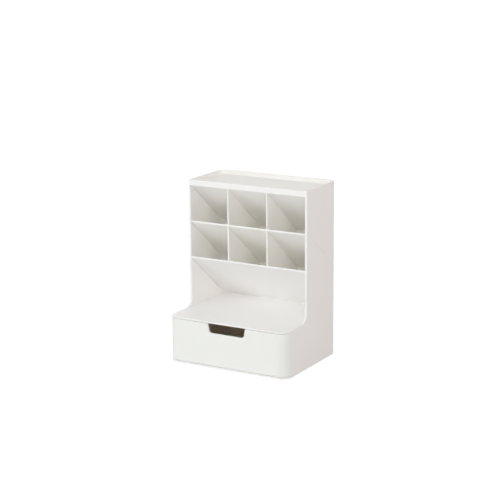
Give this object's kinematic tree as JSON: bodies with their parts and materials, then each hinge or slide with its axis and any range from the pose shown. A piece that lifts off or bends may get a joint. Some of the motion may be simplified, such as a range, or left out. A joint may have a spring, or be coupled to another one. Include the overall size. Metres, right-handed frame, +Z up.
{
  "type": "tape dispenser organizer with drawer",
  "caption": "Plastic desk tower with sloped pen pockets, a top tray and an open bay for a tape dispenser over a shelf, on a wide base with a slide-out drawer.",
  "frame": {"origin": "middle of the footprint, on the desk that the feet stand on", "axes": "+Z up, -Y towards the drawer's front, +X to the right of someone facing the drawer"},
  "size_m": [0.18, 0.144, 0.24],
  "materials": {
    "white_plastic": "semi-matte moulded white",
    "foot_rubber": "matte dark grey",
    "screw_steel": "zinc plated"
  },
  "bodies": {
    "housing": {"base_plate": "white_plastic", "left_side_panel": "white_plastic", "right_side_panel": "white_plastic", "back_panel": "white_plastic", "top_tray": "white_plastic", "upper_plate": "white_plastic", "middle_plate": "white_plastic", "lower_plate": "white_plastic", "left_divider": "white_plastic", "right_divider": "white_plastic", "shelf_plate": "white_plastic", "left_runner": "white_plastic", "right_runner": "white_plastic", "drawer_stop": "white_plastic", "front_left_foot": "foot_rubber", "front_right_foot": "foot_rubber", "back_left_foot": "foot_rubber", "back_right_foot": "foot_rubber", "base_screws": "screw_steel"},
    "drawer": {"drawer_front": "white_plastic", "drawer_box": "white_plastic", "drawer_front_screws": "screw_steel"}
  },
  "joints": [
    {"name": "drawer_slide", "type": "slide", "parent": "housing", "child": "drawer", "axis": [0, -1, 0], "range_m": [0, 0.095]}
  ]
}
